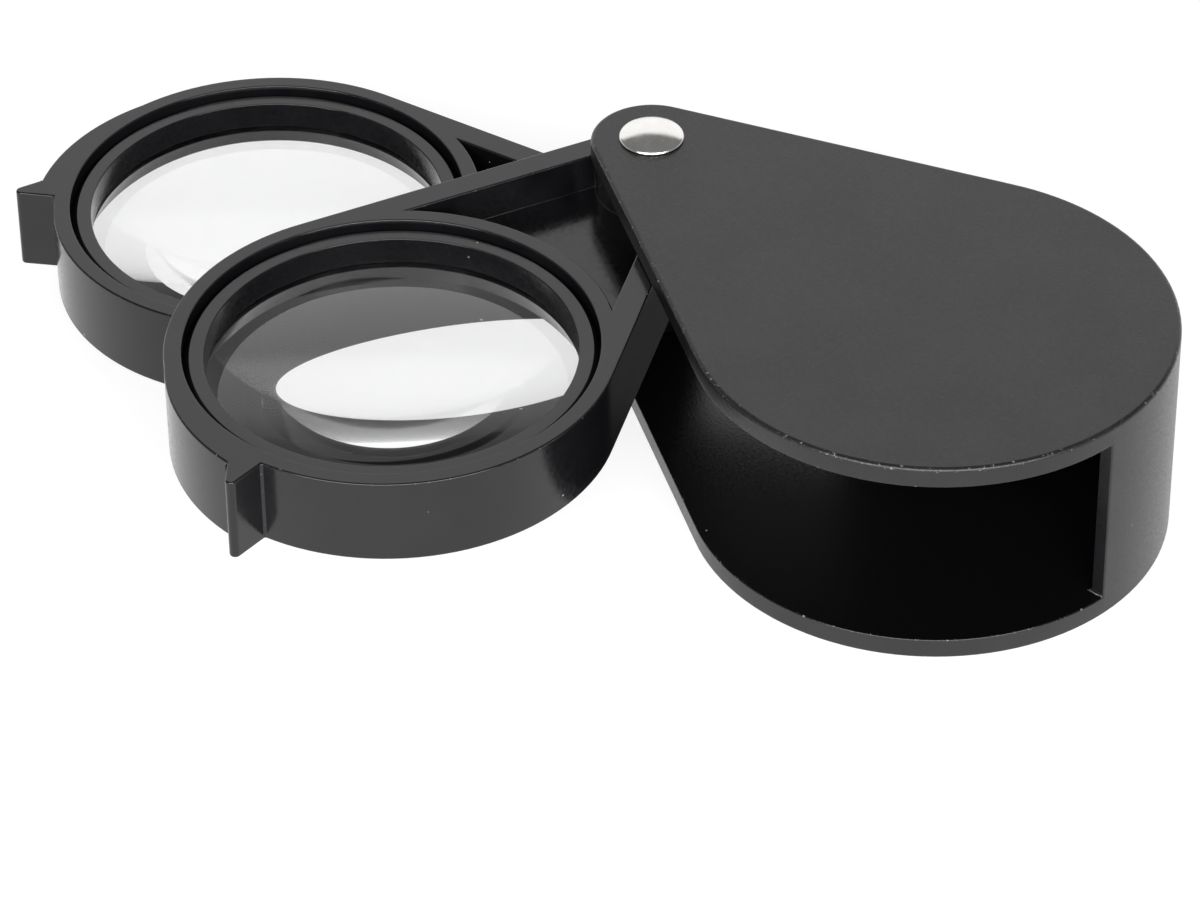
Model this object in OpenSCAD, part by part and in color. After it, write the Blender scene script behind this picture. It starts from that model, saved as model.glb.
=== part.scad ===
// Folding pocket loupe: two lens frames that swing out of a plastic case on one rivet.
// Millimetres, +Z up. The origin is the centre of the case's round end, on its underside.
// The pivot lies on the -X axis, the case's curved wall on the +Y side, its mouth on the -Y side.

/* [Case] */
// Radius of the case's round end
case_r = 26; // [24:0.5:34]
// Distance from the pivot to the centre of the round end
pivot_dist = 44.2; // [40:0.2:56]
// Radius of the case's small end, round the pivot
case_end_r = 6.7; // [6.7:0.1:9]
// Overall height of the case
case_h = 25; // [23:0.5:32]
// Thickness of the top and bottom plates
plate_t = 2.4; // [2:0.1:3]
// Thickness of the curved wall
wall_t = 1.75; // [1.2:0.05:2]
// Height of the wall's front end face above the case's axis
wall_front_y = 0.3; // [0:0.1:2]
// Distance from the pivot to the wall's rear end, along the straight side
wall_rear = 21; // [21:0.5:30]

/* [Lens frames] */
// Clearance between the lens rims and the inside of the case wall
rim_clear = 0.25; // [0.2:0.05:1]
// How much nearer the pivot the rim's centre lies than the round end's centre
rim_setback = 0.6; // [0.2:0.1:1.5]
// Radius of the boss round the pivot
boss_r = 6.2; // [5.8:0.1:6.6]
// Width of the two arms between boss and rim
arm_w = 3.1; // [2:0.1:4]
// Thickness of the web between the arms
web_t = 1.3; // [0.8:0.1:2]
// Thickness of the rim round the lens
rim_t = 1.9; // [1.4:0.1:3]
// Width of the ledge that the lens sits on
ledge_w = 2.3; // [1.6:0.1:3]
// Angle of the upper frame about the pivot, 0 along the case
upper_angle = -81; // [-260:0.5:-3]
// Angle of the lower frame about the pivot, 0 along the case
lower_angle = -140.5; // [-260:0.5:-3]

/* [Finger tab] */
// How far the tab stands out from the rim
tab_reach = 4.3; // [3:0.1:6]
// Offset of the tab's flat face from the frame's axis
tab_face_y = 3.05; // [2.5:0.05:4]
// Radius of the tab's rounded tip
tab_tip_r = 0.62; // [0.4:0.02:1]
// Slope of the tab's back towards the tip
tab_slope = 38; // [30:1:50]
// Width of the tab from its flat face to the foot of its slope
tab_w = 2.8; // [2.4:0.1:4]
// Sideways shift of the thick crescent behind the tab
crescent_shift = 1.9; // [0.5:0.1:2.5]

/* [Lenses] */
// Depth of a lens's highest point below the top of its frame
lens_top_gap = 1.8; // [1.6:0.1:2.4]
// Thickness of a lens at its edge
lens_edge_t = 1.5; // [1:0.1:2]
// Height of a lens's lowest point above the underside of its frame
lens_lift = 1.2; // [0.6:0.1:1.6]
// Radial clearance of a lens in its frame
lens_fit = 0.3; // [0.1:0.05:0.5]

/* [Retaining rings] */
// Depth of the ring's flat top below the top of the frame
ring_depth = 0.9; // [0.5:0.1:1.5]
// Width of the bevel along the ring's outer top edge
ring_bevel_w = 0.7; // [0.3:0.1:1]
// Fall of that bevel towards the rim
ring_bevel_fall = 0.9; // [0.3:0.1:1.5]
// Clearance of the ring in the rim's bore and over the lens
ring_fit = 0.05; // [0.02:0.01:0.1]

/* [Pivot] */
// Radius of the rivet's shank
shank_r = 2; // [1.5:0.1:2.5]
// Radial clearance of the shank in the frames and plates
shank_fit = 0.05; // [0.02:0.01:0.1]
// Radius of the rivet's domed head
head_r = 3.6; // [3.2:0.1:5]
// Thickness of the head's rim
head_rim_t = 0.35; // [0.2:0.05:0.6]
// Height of the head's dome above its rim
head_dome_h = 0.95; // [0.5:0.05:1.5]
// Gap between each frame and its neighbours
pivot_gap = 0.15; // [0.1:0.05:0.3]
// Radius of the friction washers
washer_r = 4.8; // [3.5:0.1:5]
// Thickness of the friction washers
washer_t = 0.45; // [0.35:0.05:0.6]
// Clearance of the washers all round
washer_fit = 0.02; // [0.01:0.01:0.03]
// Depth of the counterbore in the underside
well_depth = 1.2; // [1:0.1:1.3]
// Radius of the steel washer under the case
clinch_washer_r = 3.8; // [3.2:0.1:4.5]
// Thickness of the steel washer under the case
clinch_washer_t = 0.5; // [0.3:0.05:0.6]
// Radius of the rivet's rolled end
clinch_r = 2.9; // [2.7:0.1:3.1]
// Height of the rivet's rolled end
clinch_h = 0.45; // [0.3:0.05:0.5]
// Radius of the hollow in the rivet's rolled end
hollow_r = 1.1; // [0.8:0.05:1.3]
// Depth of the hollow in the rivet's rolled end
hollow_depth = 2.5; // [1.5:0.1:4]

/* [Hidden] */
$fn = 180;
// Overrun of a cutter past the face that it opens
cut = 1;
// Inset of an outline's straight sides, so that they cross the round ends instead of only touching
side_inset = 0.003;

// Frames
frame_h = (case_h - 2 * plate_t - 3 * pivot_gap) / 2;
lower_frame_z = plate_t + pivot_gap;
upper_frame_z = lower_frame_z + frame_h + pivot_gap;
rim_r = case_r - wall_t - rim_clear;
rim_reach = pivot_dist - rim_setback;
bore_r = rim_r - rim_t;
opening_r = bore_r - ledge_w;
web_z = (frame_h - web_t) / 2;
tab_tip_x = rim_r + tab_reach;

// Lenses, measured from the underside of their frame
lens_r = bore_r - lens_fit;
lens_centre_t = frame_h - lens_lift - lens_top_gap;
lens_edge_sag = (lens_centre_t - lens_edge_t) / 2;
lens_curve_r = (lens_r * lens_r + lens_edge_sag * lens_edge_sag) / (2 * lens_edge_sag);
ledge_z = lens_lift + sag(opening_r);
lens_mid_z = lens_lift + lens_centre_t / 2;

// Pivot, measured from the underside of the case
recess_depth = washer_t + 2 * washer_fit - pivot_gap;
recess_r = washer_r + washer_fit;
well_r = clinch_washer_r + washer_fit;
clinch_washer_z = well_depth - washer_fit - clinch_washer_t;
clinch_z = clinch_washer_z - washer_fit - clinch_h;
dome_r = (head_r * head_r + head_dome_h * head_dome_h) / (2 * head_dome_h);

black = "#333436";
glossy_black = "#28292b";
glass = [0.85, 0.92, 0.95, 0.45];
nickel = "#d8d8d6";
fibre = "#8a5a3c";

// Depth of a lens face's curve at radius r
function sag(r) = lens_curve_r - sqrt(lens_curve_r * lens_curve_r - r * r);

// Direction of the outline's straight sides' normals, for end radii big and small at distance d
function side_normal(big, small, d) = 180 - acos((big - small) / d);

// Four corners of the straight-sided middle between two round ends
function side_corners(big, small, d, n) = [
    [small * cos(n), small * sin(n)], [small * cos(n), -small * sin(n)],
    [d + big * cos(n), -big * sin(n)], [d + big * cos(n), big * sin(n)]];

// Outline with a small round end at the pivot and a big round end at distance d
module teardrop(big, small, d) {
    n = side_normal(big, small, d);
    circle(small);
    translate([d, 0]) circle(big);
    polygon(side_corners(big - side_inset, small - side_inset, d, n));
}

module at_pivot() {
    translate([-pivot_dist, 0, 0]) children();
}

// Outline of the case's curved wall
module wall_outline() {
    n = side_normal(case_r, case_end_r, pivot_dist);
    difference() {
        teardrop(case_r, case_end_r, pivot_dist);
        teardrop(case_r - wall_t, case_end_r - wall_t, pivot_dist);
        translate([-2 * case_r, wall_front_y - 2 * case_r]) square([pivot_dist + 4 * case_r, 2 * case_r]);
        rotate(n - 90) translate([wall_rear - pivot_dist, -case_r]) square([pivot_dist, 2 * case_r]);
    }
}

// Case: two plates and the curved wall, moulded in one
module case() {
    color(black) at_pivot() difference() {
        union() {
            for (z = [0, case_h - plate_t])
                translate([0, 0, z]) linear_extrude(plate_t) teardrop(case_r, case_end_r, pivot_dist);
            linear_extrude(case_h) wall_outline();
        }
        translate([0, 0, -cut]) cylinder(r = shank_r + shank_fit, h = case_h + 2 * cut);
        translate([0, 0, -cut]) cylinder(r = well_r, h = well_depth + cut);
        translate([0, 0, plate_t - recess_depth]) cylinder(r = recess_r, h = recess_depth + cut);
    }
}

// Outline of the pocket between the arms
module window_outline() {
    n = side_normal(rim_r, boss_r, rim_reach);
    difference() {
        polygon(side_corners(rim_r - arm_w, boss_r - arm_w, rim_reach, n));
        circle(boss_r);
        translate([rim_reach, 0]) circle(rim_r);
    }
}

// Outline of the finger tab, with the rim's centre as its origin
module tab_outline() {
    foot_y = tab_face_y - tab_w;
    tip = [tab_tip_x - tab_tip_r, tab_face_y - tab_tip_r];
    slope_end = tip + tab_tip_r * [sin(tab_slope), -cos(tab_slope)];
    foot_x = slope_end[0] - (slope_end[1] - foot_y) / tan(tab_slope);
    inner_x = rim_r - rim_t / 2;
    translate(tip) circle(tab_tip_r);
    polygon([[inner_x, tab_face_y], [inner_x, foot_y], [foot_x, foot_y], slope_end, tip,
        [tip[0], tab_face_y]]);
    intersection() {
        translate([crescent_shift, crescent_shift]) circle(rim_r);
        translate([inner_x - rim_r / 2, -rim_r]) square([rim_r, rim_r + foot_y]);
    }
}

// One lens frame, lying along +X with its pivot at the origin
module lens_frame() {
    difference() {
        linear_extrude(frame_h) {
            teardrop(rim_r, boss_r, rim_reach);
            translate([rim_reach, 0]) tab_outline();
        }
        for (z = [-cut, web_z + web_t])
            translate([0, 0, z]) linear_extrude(web_z + cut) window_outline();
        translate([rim_reach, 0, ledge_z]) cylinder(r = bore_r, h = frame_h);
        translate([rim_reach, 0, -cut]) cylinder(r = opening_r, h = frame_h);
        translate([0, 0, -cut]) cylinder(r = shank_r + shank_fit, h = frame_h + 2 * cut);
        translate([0, 0, frame_h - recess_depth]) cylinder(r = recess_r, h = recess_depth + cut);
    }
}

// Biconvex lens on its frame's ledge
module lens() {
    face_z = lens_curve_r - lens_centre_t / 2;
    translate([rim_reach, 0, lens_mid_z]) intersection() {
        cylinder(r = lens_r, h = lens_centre_t, center = true);
        translate([0, 0, face_z]) sphere(lens_curve_r, $fn = 720);
        translate([0, 0, -face_z]) sphere(lens_curve_r, $fn = 720);
    }
}

// Snap-in ring that holds a lens down, bevelled where it meets the rim
module retaining_ring() {
    foot_z = lens_mid_z + lens_centre_t / 2 - sag(opening_r) + ring_fit;
    top_z = frame_h - ring_depth;
    outer_r = bore_r - ring_fit;
    translate([rim_reach, 0]) rotate_extrude() polygon([[opening_r, foot_z], [outer_r, foot_z],
        [outer_r, top_z - ring_bevel_fall], [outer_r - ring_bevel_w, top_z], [opening_r, top_z]]);
}

// Puts a frame's pieces at the frame's height and angle
module on_upper() {
    at_pivot() translate([0, 0, upper_frame_z]) rotate(upper_angle) children();
}

module on_lower() {
    at_pivot() translate([0, 0, lower_frame_z]) rotate(lower_angle) children();
}

module upper_frame() {
    color(glossy_black) on_upper() lens_frame();
}

module lower_frame() {
    color(glossy_black) on_lower() lens_frame();
}

module upper_lens() {
    color(glass) on_upper() lens();
}

module lower_lens() {
    color(glass) on_lower() lens();
}

module upper_retaining_ring() {
    color(black) on_upper() retaining_ring();
}

module lower_retaining_ring() {
    color(black) on_lower() retaining_ring();
}

// Semi-tubular rivet: domed head on top, shank, and an end rolled over under the case
module rivet() {
    color(nickel) at_pivot() difference() {
        union() {
            translate([0, 0, clinch_z]) cylinder(r = shank_r, h = case_h - clinch_z + head_rim_t);
            translate([0, 0, clinch_z]) cylinder(r = clinch_r, h = clinch_h);
            translate([0, 0, case_h]) intersection() {
                cylinder(r = head_r, h = head_rim_t + head_dome_h + cut);
                translate([0, 0, head_rim_t + head_dome_h - dome_r]) sphere(dome_r);
            }
        }
        translate([0, 0, clinch_z - cut]) cylinder(r = hollow_r, h = hollow_depth + cut);
    }
}

// Flat ring with an inner radius that clears the shank
module washer(outer_r, t) {
    difference() {
        cylinder(r = outer_r, h = t);
        translate([0, 0, -cut]) cylinder(r = shank_r + shank_fit, h = t + 2 * cut);
    }
}

// Steel washer that spreads the rolled end's load
module clinch_washer() {
    color(nickel) at_pivot() translate([0, 0, clinch_washer_z]) washer(clinch_washer_r, clinch_washer_t);
}

// Thin washers that hold each frame where it is put
module friction_washer(floor_z) {
    color(fibre) at_pivot() translate([0, 0, floor_z - recess_depth + washer_fit]) washer(washer_r, washer_t);
}

module top_friction_washer() {
    friction_washer(upper_frame_z + frame_h);
}

module middle_friction_washer() {
    friction_washer(lower_frame_z + frame_h);
}

module lower_friction_washer() {
    friction_washer(plate_t);
}

case();
upper_frame();
lower_frame();
upper_lens();
lower_lens();
upper_retaining_ring();
lower_retaining_ring();
rivet();
clinch_washer();
top_friction_washer();
middle_friction_washer();
lower_friction_washer();
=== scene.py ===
import math

import bmesh
import bpy
from mathutils import Matrix, Vector


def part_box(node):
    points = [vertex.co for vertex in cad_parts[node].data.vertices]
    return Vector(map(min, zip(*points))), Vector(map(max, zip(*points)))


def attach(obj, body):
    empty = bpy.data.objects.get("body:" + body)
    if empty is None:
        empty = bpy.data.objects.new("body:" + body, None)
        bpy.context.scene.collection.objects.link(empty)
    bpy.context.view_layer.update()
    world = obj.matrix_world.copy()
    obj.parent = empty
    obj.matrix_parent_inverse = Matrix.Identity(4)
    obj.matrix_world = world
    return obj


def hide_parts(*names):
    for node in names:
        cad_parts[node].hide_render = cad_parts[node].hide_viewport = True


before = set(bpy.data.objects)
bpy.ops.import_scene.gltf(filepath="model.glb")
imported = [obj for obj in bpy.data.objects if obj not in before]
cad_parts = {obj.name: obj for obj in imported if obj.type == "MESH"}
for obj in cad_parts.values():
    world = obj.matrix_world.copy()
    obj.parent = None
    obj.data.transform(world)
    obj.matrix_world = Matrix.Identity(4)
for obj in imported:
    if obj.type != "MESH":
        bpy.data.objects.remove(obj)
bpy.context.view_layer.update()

MM = 0.001


# --- Case ---------------------------------------------------------------------------------------
# Two teardrop plates and the curved wall between them, one moulding in black ABS. The outside has a
# fine spark-eroded texture, and pockets have rubbed its rounded edges to a shine.

WELD_GAP = 0.02 * MM
FLAT_ANGLE = math.radians(0.3)
CORNER_ANGLE = math.radians(25)
ROUNDING_STEPS = 4
ROUNDED = 1


def packed_skin(node):
    """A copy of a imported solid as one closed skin, with its flat faces joined up."""
    skin = bmesh.new()
    skin.from_mesh(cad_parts[node].data)
    bmesh.ops.remove_doubles(skin, verts=skin.verts, dist=WELD_GAP)
    bmesh.ops.dissolve_limit(skin, angle_limit=FLAT_ANGLE, verts=skin.verts, edges=skin.edges)
    return skin


def new_object(name, mesh, material):
    piece = bpy.data.objects.new(name, mesh)
    bpy.context.scene.collection.objects.link(piece)
    piece.data.materials.append(material)
    return piece


def settled(piece):
    """Turns a piece's modifiers into its plain mesh."""
    bpy.context.view_layer.update()
    shaped = piece.evaluated_get(bpy.context.evaluated_depsgraph_get())
    mesh = bpy.data.meshes.new_from_object(shaped)
    piece.modifiers.clear()
    piece.data = mesh
    return piece


def even_shading(piece):
    """Keeps flat faces flat and lets roundings turn smoothly."""
    for face in piece.data.polygons:
        face.use_smooth = True
    weigh = piece.modifiers.new("Even shading", "WEIGHTED_NORMAL")
    weigh.weight = 100


def mark_rubbed_edges(mesh):
    """Writes 1 on each point in the middle of an outer rounding, and 0 on the others."""
    inside = [True] * len(mesh.vertices)
    for face in mesh.polygons:
        if face.material_index != ROUNDED:
            for v in face.vertices:
                inside[v] = False
        face.material_index = 0
    bulge = [0.0] * len(mesh.vertices)
    for edge in mesh.edges:
        a, b = (mesh.vertices[v] for v in edge.vertices)
        turn = (b.normal - a.normal).dot(b.co - a.co)
        bulge[a.index] += turn
        bulge[b.index] += turn
    rubbed = mesh.attributes.new("rubbed", "FLOAT", "POINT")
    rubbed.data.foreach_set("value", [float(i and c > 0) for i, c in zip(inside, bulge)])


def mark_inner_faces(mesh, is_inner):
    """Writes 1 on each face inside the moulding, where its tool is polished, and 0 on the others. The
    material makes these faces glossier and paints them near black as painted shade in the cavity.
    """
    inner = mesh.attributes.new("inner", "FLOAT", "FACE")
    inner.data.foreach_set("value", [float(is_inner(face)) for face in mesh.polygons])


def moulding(name, node, material, rounding):
    """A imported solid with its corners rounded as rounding(edge) says, in metres."""
    skin = packed_skin(node)
    weight = skin.edges.layers.float.new("bevel_weight_edge")
    radii = {e: rounding(e) for e in skin.edges if e.calc_face_angle(0.0) > CORNER_ANGLE}
    largest = max(radii.values())
    for edge, radius in radii.items():
        edge[weight] = radius / largest
    mesh = bpy.data.meshes.new(name)
    skin.to_mesh(mesh)
    skin.free()
    piece = new_object(name, mesh, material)
    piece.data.materials.append(material)
    soften = piece.modifiers.new("Roundings", "BEVEL")
    soften.limit_method = "WEIGHT"
    soften.offset_type = "OFFSET"
    soften.width = largest
    soften.segments = ROUNDING_STEPS
    soften.use_clamp_overlap = False
    soften.material = ROUNDED
    even_shading(piece)
    settled(piece)
    mark_rubbed_edges(piece.data)
    piece.data.materials.pop(index=ROUNDED)
    return piece


def add(tree, kind, links=None, **settings):
    """A node with its settings, and its inputs set to values or linked to sockets."""
    made = tree.nodes.new(kind)
    for key, value in settings.items():
        setattr(made, key, value)
    for key, value in (links or {}).items():
        if isinstance(value, bpy.types.NodeSocket):
            tree.links.new(value, made.inputs[key])
        else:
            made.inputs[key].default_value = value
    return made


def shader_group(name, inputs, outputs):
    """An empty shader node group with named sockets, and its two end nodes."""
    group = bpy.data.node_groups.new(name, "ShaderNodeTree")
    for label, value in inputs.items():
        socket = group.interface.new_socket(label, in_out="INPUT", socket_type="NodeSocketFloat")
        socket.default_value = value
    for label in outputs:
        group.interface.new_socket(label, in_out="OUTPUT", socket_type="NodeSocketFloat")
    return group, add(group, "NodeGroupInput"), add(group, "NodeGroupOutput")


def math_node(tree, operation, *values):
    return add(tree, "ShaderNodeMath", dict(enumerate(values)), operation=operation).outputs[0]


def per_metre(tree, size_mm):
    """The scale of a pattern that repeats every size_mm."""
    return math_node(tree, "DIVIDE", 1.0 / MM, size_mm)


def between(tree, value, low, high, to_low=0.0, to_high=1.0):
    """The value's place between low and high, carried to another range with soft ends."""
    return add(tree, "ShaderNodeMapRange", {"Value": value, "From Min": low, "From Max": high,
        "To Min": to_low, "To Max": to_high}, interpolation_type="SMOOTHSTEP").outputs["Result"]


def own_place(tree):
    return add(tree, "ShaderNodeTexCoord").outputs["Object"]


def noise(tree, place, scale, detail=2.0, roughness=0.5):
    return add(tree, "ShaderNodeTexNoise", {"Vector": place, "Scale": scale, "Detail": detail,
        "Roughness": roughness}).outputs["Fac"]


# Spark-eroded grain of a moulding tool, with the slow changes of tone across the moulding. Every size
# in these groups is in mm.
grain, ends, out = shader_group("Moulded grain", {"Grain size": 0.3, "Patch size": 9.0}, ["Height", "Tone"])
place = own_place(grain)
fine = noise(grain, place, per_metre(grain, ends.outputs["Grain size"]), 3.0, 0.6)
patch = noise(grain, place, per_metre(grain, ends.outputs["Patch size"]), 2.0, 0.55)
grain.links.new(fine, out.inputs["Height"])
grain.links.new(patch, out.inputs["Tone"])

# Rubbed roundings: broken up by a fine noise, so that the wear comes and goes along an edge. A larger
# amount lowers the noise level from which it shows.
LEAST_WEAR_LEVEL = 0.72
WEAR_LEVEL_DROP = 0.4
WEAR_FADE = 0.12
rubbing, ends, out = shader_group("Rubbed edges", {"Amount": 0.5, "Break size": 0.6}, ["Mask"])
rubbed = add(rubbing, "ShaderNodeAttribute", attribute_name="rubbed").outputs["Fac"]
breaks = noise(rubbing, own_place(rubbing), per_metre(rubbing, ends.outputs["Break size"]), 4.0, 0.7)
drop = math_node(rubbing, "MULTIPLY", ends.outputs["Amount"], WEAR_LEVEL_DROP)
start = math_node(rubbing, "SUBTRACT", LEAST_WEAR_LEVEL, drop)
shown = between(rubbing, breaks, start, math_node(rubbing, "ADD", start, WEAR_FADE))
rubbing.links.new(math_node(rubbing, "MULTIPLY", rubbed, shown), out.inputs["Mask"])

# Dust: specks in a few of the cells of a scattered pattern
dust, ends, out = shader_group("Dust", {"Spacing": 1.5, "Speck size": 0.12, "Cover": 0.25}, ["Mask"])
cells = add(dust, "ShaderNodeTexVoronoi", {"Vector": own_place(dust),
    "Scale": per_metre(dust, ends.outputs["Spacing"])})
reach = math_node(dust, "DIVIDE", ends.outputs["Speck size"], ends.outputs["Spacing"])
speck = math_node(dust, "LESS_THAN", cells.outputs["Distance"], reach)
pick = add(dust, "ShaderNodeSeparateColor", {"Color": cells.outputs["Color"]}).outputs["Red"]
taken = math_node(dust, "LESS_THAN", pick, ends.outputs["Cover"])
dust.links.new(math_node(dust, "MULTIPLY", speck, taken), out.inputs["Mask"])


def placed_group(tree, group, **values):
    return add(tree, "ShaderNodeGroup", {k.replace("_", " ").capitalize(): v for k, v in values.items()},
        node_tree=group)


def mixed(tree, mask, low, high):
    """A colour that goes from low to high with the mask."""
    made = add(tree, "ShaderNodeMix", data_type="RGBA")
    tree.links.new(mask, made.inputs[0])
    for socket, colour in ((made.inputs[6], low), (made.inputs[7], high)):
        if isinstance(colour, bpy.types.NodeSocket):
            tree.links.new(colour, socket)
        else:
            socket.default_value = (*colour, 1.0)
    return made.outputs[2]


def shaded_material(name):
    material = bpy.data.materials.new(name)
    material.use_nodes = True
    tree = material.node_tree
    tree.nodes.clear()
    shader = add(tree, "ShaderNodeBsdfPrincipled")
    add(tree, "ShaderNodeOutputMaterial", {"Surface": shader.outputs[0]})
    return material, tree, shader


# Noise seldom leaves this span
NOISE_LOW, NOISE_HIGH = 0.3, 0.7
PLASTIC_IOR = 1.5
PATCH_SIZE = 9.0
UNEVENNESS = 0.06
POLISH = 0.14
# Painted shade: the near-black colour painted on the faces inside the case's cavity, darker than the
# plastic, standing in for the shade there
PAINTED_CAVITY_SHADE = (0.003, 0.003, 0.003)
WORN_GREY = (0.30, 0.30, 0.31)
DUST_GREY = (0.36, 0.36, 0.35)


def black_plastic(name, dark, light, rough, grain_size, grain_depth, rub, rub_break, dust_cover):
    """Moulded black plastic between two tones, with its grain, rubbed edges and dust, and painted shade on
    the faces inside a cavity. Sizes are in mm.
    """
    material, tree, shader = shaded_material(name)
    skin = placed_group(tree, grain, grain_size=grain_size, patch_size=PATCH_SIZE)
    worn = placed_group(tree, rubbing, amount=rub, break_size=rub_break).outputs["Mask"]
    specks = placed_group(tree, dust, spacing=1.7, speck_size=0.11, cover=dust_cover).outputs["Mask"]
    tone = between(tree, skin.outputs["Tone"], NOISE_LOW, NOISE_HIGH)
    inner = add(tree, "ShaderNodeAttribute", attribute_name="inner").outputs["Fac"]
    colour = mixed(tree, tone, dark, light)
    # Painted shade: faces marked inner are painted near black to stand in for the shade inside the cavity
    colour = mixed(tree, inner, colour, PAINTED_CAVITY_SHADE)
    colour = mixed(tree, worn, colour, WORN_GREY)
    colour = mixed(tree, specks, colour, DUST_GREY)
    tree.links.new(colour, shader.inputs["Base Color"])
    matte = between(tree, skin.outputs["Height"], NOISE_LOW, NOISE_HIGH,
        rough - UNEVENNESS, rough + UNEVENNESS)
    polished = math_node(tree, "ADD", math_node(tree, "MULTIPLY", worn, POLISH),
        math_node(tree, "MULTIPLY", inner, POLISH))
    tree.links.new(math_node(tree, "SUBTRACT", matte, polished), shader.inputs["Roughness"])
    bump = add(tree, "ShaderNodeBump", {"Strength": 1.0, "Distance": grain_depth * MM,
        "Height": skin.outputs["Height"]})
    tree.links.new(bump.outputs[0], shader.inputs["Normal"])
    shader.inputs["IOR"].default_value = PLASTIC_IOR
    return material


case_plastic = black_plastic("Textured black ABS", (0.007, 0.007, 0.008), (0.011, 0.011, 0.012), 0.33,
    grain_size=0.3, grain_depth=0.013, rub=0.32, rub_break=0.4, dust_cover=0.02)

case_low, case_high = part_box("case")
pivot_low, pivot_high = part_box("rivet")
pivot = (pivot_low + pivot_high) / 2
# Edges nearer the pivot than this belong to the rivet's hole and the washers' recesses
PIVOT_CUTS_R = 5.0 * MM
PIVOT_EASE = 0.06 * MM
CASE_HOLLOW = 0.35 * MM
CASE_TOP = 0.5 * MM
CASE_FOOT = 0.3 * MM
CASE_EDGE = 0.18 * MM
PLATES_CLEAR = 2.0 * MM


def from_pivot(point):
    return math.hypot(point.x - pivot.x, point.y - pivot.y)


def level(edge):
    return abs(edge.verts[0].co.z - edge.verts[1].co.z) < WELD_GAP


def middle(edge):
    return (edge.verts[0].co + edge.verts[1].co) / 2


def case_rounding(edge):
    """How a case corner is rounded: the top plate's upper edge most, and the cuts at the pivot least."""
    place = middle(edge)
    if from_pivot(place) < PIVOT_CUTS_R:
        return PIVOT_EASE
    if not edge.is_convex:
        return CASE_HOLLOW
    if level(edge) and place.z > case_high.z - WELD_GAP:
        return CASE_TOP
    if level(edge) and place.z < case_low.z + WELD_GAP:
        return CASE_FOOT
    return CASE_EDGE


def in_cavity(face):
    """True for the wall's inside and the two plates' inner faces."""
    place, facing = face.center, face.normal
    if not case_low.z + PLATES_CLEAR < place.z < case_high.z - PLATES_CLEAR:
        return False
    if abs(facing.z) > 0.5:
        return (facing.z > 0) == (place.z < (case_low.z + case_high.z) / 2)
    return facing.x * place.x + facing.y * place.y < -0.5 * math.hypot(place.x, place.y)


case = moulding("case_shell", "case", case_plastic, case_rounding)
# The cavity's faces get painted shade in their colour and a polished, glossier finish
mark_inner_faces(case.data, in_cavity)
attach(case, "case")
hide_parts("case")


# --- Lens frames --------------------------------------------------------------------------------
# Two like mouldings in glossier black plastic: a rim round the lens, two arms with a web between them,
# a boss on the rivet and a finger tab. They come from a polished tool, and swing out one above the other.

frame_plastic = black_plastic("Satin black plastic", (0.004, 0.004, 0.005), (0.007, 0.007, 0.008), 0.17,
    grain_size=0.5, grain_depth=0.0008, rub=0.25, rub_break=0.3, dust_cover=0.05)

ARMS = {"upper": "upper_lens_arm", "lower": "lower_lens_arm"}
RIM_R = 24.0 * MM
BORE_R = 22.1 * MM
SEAT_EASE = 0.05 * MM
BORE_LIP = 0.16 * MM
BORE_CORNER = 0.03 * MM
TAB_ROOT = 0.3 * MM
FRAME_HOLLOW = 0.15 * MM
FRAME_EDGE = 0.22 * MM


def frame_rounding(side):
    """How a frame's corners are rounded: the tab's root most, and the seats of lens and pivot least."""
    lens_low, lens_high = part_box(side + "_lens")
    hub = (lens_low + lens_high) / 2

    def rounding(edge):
        place = middle(edge)
        out = math.hypot(place.x - hub.x, place.y - hub.y)
        if from_pivot(place) < PIVOT_CUTS_R:
            return PIVOT_EASE
        if out < BORE_R - WELD_GAP:
            return SEAT_EASE
        if out < BORE_R + WELD_GAP:
            return BORE_LIP if edge.is_convex else BORE_CORNER
        if not edge.is_convex:
            at_tab = out > RIM_R - WELD_GAP and from_pivot(place) > from_pivot(hub)
            return TAB_ROOT if at_tab and not level(edge) else FRAME_HOLLOW
        return FRAME_EDGE
    return rounding


for side, body in ARMS.items():
    piece = moulding(side + "_frame_moulding", side + "_frame", frame_plastic, frame_rounding(side))
    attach(piece, body)
    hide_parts(side + "_frame")


# --- Lenses -------------------------------------------------------------------------------------
# Two biconvex lenses of clear optical glass, with plain upright edges. Each lies on the ledge in its rim.
# They are turned from a profile, as every round piece is.

MERGE_GAP = 1e-6
ROUND_STEPS = 160


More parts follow.
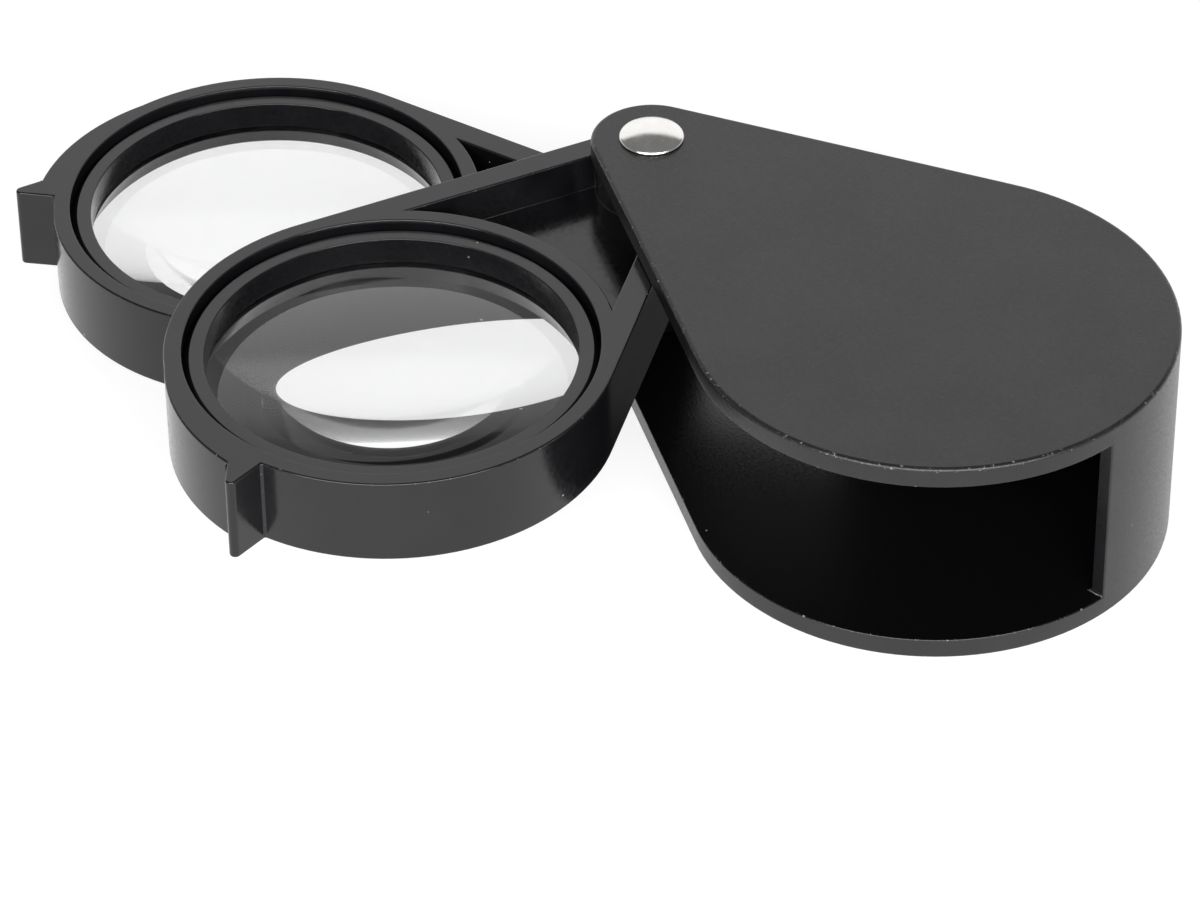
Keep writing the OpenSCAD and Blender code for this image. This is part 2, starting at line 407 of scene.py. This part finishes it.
def turning_tree():
    """Geometry nodes that turn a profile of points (radius, 0, height) round an upright axis."""
    tree = bpy.data.node_groups.new("Turned part", "GeometryNodeTree")
    kinds = {"Profile": "NodeSocketGeometry", "Segments": "NodeSocketInt", "Centre": "NodeSocketVector",
        "Material": "NodeSocketMaterial"}
    for label, kind in kinds.items():
        tree.interface.new_socket(label, in_out="INPUT", socket_type=kind)
    tree.interface.new_socket("Part", in_out="OUTPUT", socket_type="NodeSocketGeometry")
    given = add(tree, "NodeGroupInput").outputs
    size = add(tree, "GeometryNodeAttributeDomainSize", {"Geometry": given["Profile"]})
    columns = math_node(tree, "ADD", given["Segments"], 1.0)
    grid = add(tree, "GeometryNodeMeshGrid", {"Vertices X": size.outputs["Point Count"],
        "Vertices Y": columns}).outputs["Mesh"]
    index = add(tree, "GeometryNodeInputIndex").outputs[0]
    row = math_node(tree, "FLOOR", math_node(tree, "DIVIDE", index, columns))
    column = math_node(tree, "SUBTRACT", index, math_node(tree, "MULTIPLY", row, columns))
    position = add(tree, "GeometryNodeInputPosition").outputs[0]
    sample = add(tree, "GeometryNodeSampleIndex", {"Geometry": given["Profile"], "Value": position,
        "Index": row}, data_type="FLOAT_VECTOR", domain="POINT").outputs["Value"]
    profile = add(tree, "ShaderNodeSeparateXYZ", {0: sample}).outputs
    turn = math_node(tree, "DIVIDE", math_node(tree, "MULTIPLY", column, math.tau), given["Segments"])
    x = math_node(tree, "MULTIPLY", profile["X"], math_node(tree, "COSINE", turn))
    y = math_node(tree, "MULTIPLY", profile["X"], math_node(tree, "SINE", turn))
    point = add(tree, "ShaderNodeCombineXYZ", {"X": x, "Y": y, "Z": profile["Z"]}).outputs[0]
    centred = add(tree, "ShaderNodeVectorMath", {0: point, 1: given["Centre"]}, operation="ADD").outputs[0]
    placed = add(tree, "GeometryNodeSetPosition", {"Geometry": grid, "Position": centred}).outputs[0]
    closed = add(tree, "GeometryNodeMergeByDistance", {"Geometry": placed, "Distance": MERGE_GAP}).outputs[0]
    whole = add(tree, "GeometryNodeRealizeInstances", {"Geometry": closed}).outputs[0]
    finish = add(tree, "GeometryNodeSetMaterial", {"Geometry": whole, "Material": given["Material"]})
    add(tree, "NodeGroupOutput", {"Part": finish.outputs[0]})
    return tree


TURNING = turning_tree()


def turned(name, profile, centre, material, segments):
    """A round piece from its profile, a list of (radius, height) points in metres."""
    mesh = bpy.data.meshes.new(name)
    mesh.from_pydata([(r, 0.0, z) for r, z in profile], [(i, i + 1) for i in range(len(profile) - 1)], [])
    piece = new_object(name, mesh, material)
    lathe = piece.modifiers.new("Lathe", "NODES")
    lathe.node_group = TURNING
    sockets = {s.name: s.identifier for s in TURNING.interface.items_tree if s.in_out == "INPUT"}
    lathe[sockets["Segments"]] = segments
    lathe[sockets["Centre"]] = tuple(centre)
    lathe[sockets["Material"]] = material
    settled(piece)
    skin = bmesh.new()
    skin.from_mesh(piece.data)
    bmesh.ops.dissolve_degenerate(skin, dist=MERGE_GAP, edges=skin.edges)
    bmesh.ops.recalc_face_normals(skin, faces=skin.faces)
    skin.to_mesh(piece.data)
    skin.free()
    even_shading(piece)
    return settled(piece)


def arc(centre, radius, start, end, steps):
    """Points of an arc about (radius, height) centre, with its angles in degrees."""
    turns = (math.radians(start + (end - start) * i / steps) for i in range(steps + 1))
    return [(centre[0] + radius * math.cos(t), centre[1] + radius * math.sin(t)) for t in turns]


LENS_IOR = 1.49
HAZE_ROUGHNESS = 0.035
CLEAR = (1.0, 1.0, 1.0)
HAZY = (0.975, 0.985, 0.98)


def lens_glass():
    """Clear optical glass with a breath of handling haze."""
    material, tree, shader = shaded_material("Clear optical glass")
    haze = noise(tree, own_place(tree), 240.0, 5.0, 0.65)
    tree.links.new(between(tree, haze, 0.5, 0.8, 0.0, HAZE_ROUGHNESS), shader.inputs["Roughness"])
    tree.links.new(mixed(tree, haze, CLEAR, HAZY), shader.inputs["Base Color"])
    shader.inputs["IOR"].default_value = LENS_IOR
    shader.inputs["Transmission Weight"].default_value = 1.0
    return material


glass = lens_glass()
LENS_EDGE = 1.5 * MM
FACE_STEPS = 40

for side, body in ARMS.items():
    low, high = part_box(side + "_lens")
    centre = (low + high) / 2
    radius = (high.x - low.x) / 2
    half = (high.z - low.z) / 2
    fall = half - LENS_EDGE / 2
    curve = (radius ** 2 + fall ** 2) / (2 * fall)
    spread = math.degrees(math.asin(radius / curve))
    top = arc((0.0, half - curve), curve, 90.0, 90.0 - spread, FACE_STEPS)
    outline = top + [(r, -z) for r, z in reversed(top)]
    outline[0], outline[-1] = (0.0, half), (0.0, -half)
    piece = turned(side + "_lens_glass", outline, centre, glass, ROUND_STEPS)
    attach(piece, body)
    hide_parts(side + "_lens")


# --- Retaining rings ----------------------------------------------------------------------------
# Black plastic rings pressed into the bores above the lenses, which hold them on their ledges. A bevel
# along the rim leaves a dark groove round each ring.

ring_plastic = black_plastic("Ring plastic", (0.005, 0.005, 0.006), (0.008, 0.008, 0.009), 0.17,
    grain_size=0.5, grain_depth=0.0012, rub=0.35, rub_break=0.3, dust_cover=0.1)


def eased(corners):
    """A closed profile through corners of (radius, height, rounding), each rounded off by an arc."""
    points = []
    for i, (r, z, rounding) in enumerate(corners):
        here = Vector((r, z))
        before, after = (Vector(corners[j % len(corners)][:2]) for j in (i - 1, i + 1))
        u, v = (before - here).normalized(), (after - here).normalized()
        half = u.angle(v) / 2
        hub = here + (u + v).normalized() * rounding / math.sin(half)
        a, b = ((here + w * rounding / math.tan(half) - hub).normalized() for w in (u, v))
        for step in range(ROUNDING_STEPS + 1):
            points.append(tuple(hub + a.slerp(b, step / ROUNDING_STEPS) * rounding))
    return points + points[:1]


RING_WIDTH = 2.25 * MM
RING_BEVEL_WIDTH = 0.7 * MM
RING_BEVEL_FALL = 0.9 * MM
RING_TOP_EASE = 0.12 * MM
RING_BEVEL_EASE = 0.1 * MM
RING_FOOT_EASE = 0.08 * MM

for side, body in ARMS.items():
    low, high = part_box(side + "_retaining_ring")
    centre = (low + high) / 2
    outer = (high.x - low.x) / 2
    inner = outer - RING_WIDTH
    half = (high.z - low.z) / 2
    outline = eased([(inner, half, RING_TOP_EASE), (inner, -half, RING_FOOT_EASE),
        (outer, -half, RING_FOOT_EASE), (outer, half - RING_BEVEL_FALL, RING_BEVEL_EASE),
        (outer - RING_BEVEL_WIDTH, half, RING_TOP_EASE)])
    piece = turned(side + "_retaining_ring_moulding", outline, centre, ring_plastic, ROUND_STEPS)
    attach(piece, body)
    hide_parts(side + "_retaining_ring")


# --- Friction washers ---------------------------------------------------------------------------
# Three thin washers punched from vulcanised fibre: under the top plate, between the frames and above the
# bottom plate. Their friction keeps a frame where it is put.

FIBRE_DARK = (0.20, 0.10, 0.055)
FIBRE_LIGHT = (0.36, 0.20, 0.11)
THREADS_PER_METRE = 2600.0

def fibre_sheet():
    material, tree, shader = shaded_material("Vulcanised fibre")
    threads = noise(tree, own_place(tree), THREADS_PER_METRE, 4.0, 0.6)
    tree.links.new(mixed(tree, threads, FIBRE_DARK, FIBRE_LIGHT), shader.inputs["Base Color"])
    tree.links.new(between(tree, threads, NOISE_LOW, NOISE_HIGH, 0.5, 0.75), shader.inputs["Roughness"])
    bump = add(tree, "ShaderNodeBump", {"Strength": 0.6, "Distance": 0.02 * MM, "Height": threads})
    tree.links.new(bump.outputs[0], shader.inputs["Normal"])
    return material


fibre = fibre_sheet()
SHANK_HOLE_R = 2.05 * MM
FIBRE_EASE = 0.08 * MM
SMALL_STEPS = 96


def washer(node, body, material, ease):
    """A flat washer round the rivet's shank, with its edges eased."""
    low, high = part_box(node)
    outer, half = (high.x - low.x) / 2, (high.z - low.z) / 2
    outline = eased([(SHANK_HOLE_R, half, ease), (SHANK_HOLE_R, -half, ease), (outer, -half, ease),
        (outer, half, ease)])
    piece = turned(node + "_disc", outline, (low + high) / 2, material, SMALL_STEPS)
    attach(piece, body)
    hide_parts(node)


for node, body in (("top_friction_washer", "case"), ("middle_friction_washer", "lower_lens_arm"),
        ("lower_friction_washer", "case")):
    washer(node, body, fibre, FIBRE_EASE)


# --- Rivet and clinch washer --------------------------------------------------------------------
# A semi-tubular steel rivet, nickel plated, holds the case and both frames together. Its end is rolled
# over a plain steel washer in the counterbore under the case.

SCRATCH_TURN = 0.6
SCRATCH_SCALE = (900.0, 9000.0, 900.0)
SCRATCH_ROUGHNESS = 0.12
STAIN_ROUGHNESS = 0.08

def plated_metal(name, dull, bright, rough, ripple):
    """Bright metal, a little rippled and finely scratched by handling. The ripple is in mm."""
    material, tree, shader = shaded_material(name)
    place = own_place(tree)
    stretched = add(tree, "ShaderNodeMapping", {"Vector": place, "Rotation": (0.0, 0.0, SCRATCH_TURN),
        "Scale": SCRATCH_SCALE}).outputs[0]
    scratches = between(tree, noise(tree, stretched, 1.0, 2.0, 0.6), 0.56, 0.72)
    stains = noise(tree, place, 700.0, 3.0, 0.6)
    tree.links.new(mixed(tree, stains, dull, bright), shader.inputs["Base Color"])
    base = between(tree, stains, NOISE_LOW, NOISE_HIGH, rough, rough + STAIN_ROUGHNESS)
    added = math_node(tree, "MULTIPLY", scratches, SCRATCH_ROUGHNESS)
    tree.links.new(math_node(tree, "ADD", base, added), shader.inputs["Roughness"])
    waves = noise(tree, place, 420.0, 1.0, 0.4)
    bump = add(tree, "ShaderNodeBump", {"Strength": 1.0, "Distance": ripple * MM, "Height": waves})
    tree.links.new(bump.outputs[0], shader.inputs["Normal"])
    shader.inputs["Metallic"].default_value = 1.0
    return material


nickel = plated_metal("Nickel plate", (0.72, 0.71, 0.69), (0.88, 0.87, 0.85), 0.12, 0.03)
steel = plated_metal("Plain steel", (0.42, 0.42, 0.42), (0.58, 0.58, 0.58), 0.26, 0.01)

SHANK_R = 2.0 * MM
HEAD_RIM = 0.35 * MM
HOLLOW_R = 1.1 * MM
HOLLOW_DEPTH = 2.5 * MM
ROLL_R = 2.9 * MM
ROLL_HEIGHT = 0.45 * MM
# The part of the dome's arc that is left before the rim's rounding takes over
DOME_SHARE = 0.96

top_z, end_z = pivot_high.z, pivot_low.z
seat_z = case_high.z
head_r = (pivot_high.x - pivot_low.x) / 2
rim_top_z = seat_z + HEAD_RIM
dome_height = top_z - rim_top_z
dome_r = (head_r ** 2 + dome_height ** 2) / (2 * dome_height)
dome_spread = math.degrees(math.asin(head_r / dome_r))
rim_ease = HEAD_RIM / 2
roll_ease = ROLL_HEIGHT / 2
# From the top of the dome, round the rim, down the shank, over the rolled end and up the hollow
dome = arc((0.0, top_z - dome_r), dome_r, 90.0, 90.0 - DOME_SHARE * dome_spread, 20)
outline = [(0.0, top_z)] + dome[1:]
outline += arc((head_r - rim_ease, seat_z + rim_ease), rim_ease, 50.0, -90.0, 8)
outline += [(SHANK_R, seat_z), (SHANK_R, end_z + ROLL_HEIGHT)]
outline += arc((ROLL_R - roll_ease, end_z + roll_ease), roll_ease, 90.0, -90.0, 8)
outline += arc((HOLLOW_R + roll_ease, end_z + roll_ease), roll_ease, -90.0, -180.0, 6)
outline += [(HOLLOW_R, end_z + HOLLOW_DEPTH), (0.0, end_z + HOLLOW_DEPTH + HOLLOW_R / 2)]
rivet = turned("rivet_plated", outline, (pivot.x, pivot.y, 0.0), nickel, SMALL_STEPS)
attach(rivet, "case")
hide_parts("rivet")

washer("clinch_washer", "case", steel, 0.1 * MM)


# --- Floor, light and camera --------------------------------------------------------------------
# A white light table and a bright backdrop behind it, in a room that is paler towards the horizon. One wide
# softbox in front gives the edges of the case their shine.

TABLE_LOW, TABLE_HIGH = (0.28, 0.28, 0.28), (0.30, 0.30, 0.30)
TABLE_GLOW = 0.8
FLOOR_HALF = 3.0
floor_material, tree, shader = shaded_material("White light table")
diffuser = noise(tree, own_place(tree), 60.0, 3.0, 0.5)
tree.links.new(mixed(tree, diffuser, TABLE_LOW, TABLE_HIGH), shader.inputs["Base Color"])
shader.inputs["Roughness"].default_value = 0.7
shader.inputs["Emission Color"].default_value = (1.0, 1.0, 1.0, 1.0)
shader.inputs["Emission Strength"].default_value = TABLE_GLOW
floor_mesh = bpy.data.meshes.new("floor")
floor_corners = ((-1, -1), (1, -1), (1, 1), (-1, 1))
floor_mesh.from_pydata([(x * FLOOR_HALF, y * FLOOR_HALF, 0.0) for x, y in floor_corners], [], [(0, 1, 2, 3)])
new_object("floor", floor_mesh, floor_material)

AZIMUTH, ELEVATION, ROLL = math.radians(48.713), math.radians(38.169), math.radians(-0.576)
TARGET = Vector((-18.0, -31.0, 13.0)) * MM
DISTANCE = 0.5794
LENS_LENGTH, FILM_WIDTH = 165.0, 36.0
back = Vector((math.sin(AZIMUTH) * math.cos(ELEVATION), -math.cos(AZIMUTH) * math.cos(ELEVATION),
    math.sin(ELEVATION)))
camera_data = bpy.data.cameras.new("camera")
camera_data.lens = LENS_LENGTH
camera_data.sensor_width = FILM_WIDTH
camera = bpy.data.objects.new("camera", camera_data)
facing = back.to_track_quat("Z", "Y").to_matrix().to_4x4()
camera.matrix_world = Matrix.Translation(TARGET + back * DISTANCE) @ facing @ Matrix.Rotation(ROLL, 4, "Z")
bpy.context.scene.collection.objects.link(camera)
bpy.context.scene.camera = camera

BACKDROP, HORIZON, ROOM = 0.98, 0.4, 0.2
world = bpy.data.worlds.new("studio")
world.use_nodes = True
bpy.context.scene.world = world
tree = world.node_tree
tree.nodes.clear()
away = Vector((-back.x, -back.y, 0.0)).normalized()
direction = add(tree, "ShaderNodeTexCoord").outputs["Generated"]
toward_back = add(tree, "ShaderNodeVectorMath", {0: direction, 1: tuple(away)},
    operation="DOT_PRODUCT").outputs["Value"]
height = add(tree, "ShaderNodeSeparateXYZ", {0: direction}).outputs["Z"]
at_back = between(tree, toward_back, 0.56, 0.7)
near_horizon = between(tree, height, 0.1, 0.4, 1.0, 0.0)
backdrop = math_node(tree, "MULTIPLY", at_back, BACKDROP)
beside = math_node(tree, "MULTIPLY", math_node(tree, "SUBTRACT", 1.0, at_back), near_horizon)
room = math_node(tree, "ADD", math_node(tree, "MULTIPLY", beside, HORIZON), ROOM)
sky = add(tree, "ShaderNodeBackground", {"Color": (1.0, 1.0, 1.0, 1.0),
    "Strength": math_node(tree, "ADD", backdrop, room)})
add(tree, "ShaderNodeOutputWorld", {"Surface": sky.outputs[0]})


SOFTBOX_AWAY, SOFTBOX_HEIGHT = 0.76, 0.48
SOFTBOX_SIZE = (1.6, 0.4)
SOFTBOX_WATTS = 16.0
softbox_data = bpy.data.lights.new("front softbox", "AREA")
softbox_data.shape = "RECTANGLE"
softbox_data.size, softbox_data.size_y = SOFTBOX_SIZE
softbox_data.energy = SOFTBOX_WATTS
softbox = bpy.data.objects.new("front softbox", softbox_data)
softbox.location = TARGET + Vector((-away.x * SOFTBOX_AWAY, -away.y * SOFTBOX_AWAY, SOFTBOX_HEIGHT))
softbox.rotation_euler = (softbox.location - TARGET).to_track_quat("Z", "Y").to_euler()
bpy.context.scene.collection.objects.link(softbox)

bpy.context.scene.view_settings.view_transform = "Standard"
